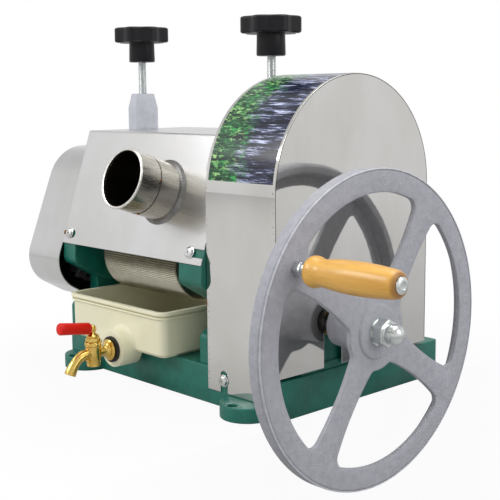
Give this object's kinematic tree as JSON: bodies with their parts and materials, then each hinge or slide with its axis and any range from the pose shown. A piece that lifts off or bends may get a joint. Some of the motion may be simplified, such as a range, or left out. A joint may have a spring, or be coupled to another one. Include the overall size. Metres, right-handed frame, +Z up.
{
  "type": "manual sugarcane juicer",
  "caption": "Hand-cranked sugarcane mill with geared fluted rollers, stainless covers and feed tube, cast base and frames, spoked handwheel, pressure screws and a juice tray with a brass tap.",
  "frame": {"origin": "middle of the base casting's underside, at the centre of its bolt pattern", "axes": "+X along the rollers towards the handwheel, +Y away from the feed tube and tray, +Z up"},
  "size_m": [0.7155, 0.4692, 0.563],
  "materials": {
    "green_casting": "semi-gloss green enamel on a rough casting",
    "bright_steel": "turned",
    "bronze_bush": "machined bronze",
    "block_iron": "machined",
    "screw_steel": "plated thread",
    "black_knob": "moulded black",
    "tower_alloy": "sand cast, silver painted",
    "fastener_zinc": "zinc plated",
    "roller_steel": "fluted steel",
    "gear_steel": "cut teeth, oiled",
    "crank_steel": "turned, oiled",
    "wheel_paint": "lavender grey paint on cast iron",
    "dome_chrome": "bright plated",
    "pin_zinc": "zinc plated",
    "grip_wood": "clear lacquered",
    "hood_stainless": "polished sheet",
    "tube_stainless": "drawn tube",
    "right_cover_stainless": "polished sheet with a printed band",
    "left_cover_stainless": "polished sheet",
    "inner_stainless": "brushed plate",
    "tray_plastic": "cream food-grade plastic",
    "seal_rubber": "black rubber washer",
    "tap_brass": "cast and turned brass",
    "lever_red": "dipped red vinyl"
  },
  "bodies": {
    "frame": {"base_casting": "green_casting", "left_side_frame": "green_casting", "right_side_frame": "green_casting", "crank_pedestal": "green_casting", "tie_rods": "bright_steel", "front_left_bush": "bronze_bush", "front_right_bush": "bronze_bush", "rear_left_bush": "bronze_bush", "rear_right_bush": "bronze_bush", "crank_inner_bush": "bronze_bush", "crank_outer_bush": "bronze_bush", "left_screw_tower": "tower_alloy", "right_screw_tower": "tower_alloy", "tower_bolts": "fastener_zinc", "feed_hood": "hood_stainless", "feed_tube": "tube_stainless", "hood_screws": "fastener_zinc", "right_gear_cover": "right_cover_stainless", "cover_screws": "fastener_zinc", "left_gear_cover": "left_cover_stainless", "turner_plate": "inner_stainless", "bagasse_chute": "inner_stainless", "frame_bolts": "fastener_zinc", "pedestal_bolts": "fastener_zinc"},
    "crank": {"handwheel": "wheel_paint", "crank_shaft": "crank_steel", "crank_pinion": "gear_steel", "dome_nut": "dome_chrome", "crank_pin": "pin_zinc", "pin_nut": "pin_zinc"},
    "grip": {"crank_grip": "grip_wood"},
    "carriage": {"left_bearing_block": "block_iron", "right_bearing_block": "block_iron", "top_left_bush": "bronze_bush", "top_right_bush": "bronze_bush"},
    "top_mill": {"top_roller_shaft": "bright_steel", "top_roller": "roller_steel", "top_roller_gear": "gear_steel", "drive_gear": "gear_steel"},
    "front_mill": {"front_roller_shaft": "bright_steel", "front_roller": "roller_steel", "front_roller_gear": "gear_steel"},
    "rear_mill": {"rear_roller_shaft": "bright_steel", "rear_roller": "roller_steel", "rear_roller_gear": "gear_steel"},
    "left_screw": {"left_pressure_screw": "screw_steel", "left_star_knob": "black_knob"},
    "right_screw": {"right_pressure_screw": "screw_steel", "right_star_knob": "black_knob"},
    "tray": {"juice_tray": "tray_plastic", "tap_seal": "seal_rubber", "tap_backnut": "tap_brass", "tap_body": "tap_brass"},
    "tap": {"tap_plug": "tap_brass", "tap_lever_sleeve": "lever_red"}
  },
  "joints": [
    {"name": "crank_spin", "type": "hinge", "parent": "frame", "child": "crank", "pos_m": [0.2, -0.0595, 0.1065], "axis": [1, 0, 0], "continuous": true},
    {"name": "grip_spin", "type": "hinge", "parent": "crank", "child": "grip", "pos_m": [0.36, -0.19298, 0.19653], "axis": [1, 0, 0], "continuous": true},
    {"name": "carriage_lift", "type": "slide", "parent": "frame", "child": "carriage", "axis": [0, 0, 1], "range_m": [0, 0.0015]},
    {"name": "top_spin", "type": "hinge", "parent": "carriage", "child": "top_mill", "pos_m": [0, -0.0215, 0.24124], "axis": [1, 0, 0], "continuous": true},
    {"name": "front_spin", "type": "hinge", "parent": "frame", "child": "front_mill", "pos_m": [0, -0.0895, 0.16124], "axis": [1, 0, 0], "continuous": true},
    {"name": "rear_spin", "type": "hinge", "parent": "frame", "child": "rear_mill", "pos_m": [0, 0.0465, 0.16124], "axis": [1, 0, 0], "continuous": true},
    {"name": "left_screw_turn", "type": "hinge", "parent": "carriage", "child": "left_screw", "pos_m": [-0.201, -0.0215, 0.4], "axis": [0, 0, 1], "range_deg": [0, 270]},
    {"name": "right_screw_turn", "type": "hinge", "parent": "carriage", "child": "right_screw", "pos_m": [0.073, -0.0215, 0.4], "axis": [0, 0, 1], "range_deg": [0, 270]},
    {"name": "tray_slide", "type": "slide", "parent": "frame", "child": "tray", "axis": [0, -1, 0], "range_m": [0, 0.25]},
    {"name": "tap_turn", "type": "hinge", "parent": "tray", "child": "tap", "pos_m": [-0.05, -0.2275, 0.06], "axis": [0, 0, 1], "range_deg": [0, 90]}
  ],
  "couplings": [
    {"joint": "top_spin", "follows": "crank_spin", "ratio": -0.27273},
    {"joint": "front_spin", "follows": "crank_spin", "ratio": 0.27273},
    {"joint": "rear_spin", "follows": "crank_spin", "ratio": 0.27273},
    {"joint": "left_screw_turn", "follows": "carriage_lift", "rad_per_m": 3141.6},
    {"joint": "right_screw_turn", "follows": "carriage_lift", "rad_per_m": 3141.6}
  ]
}
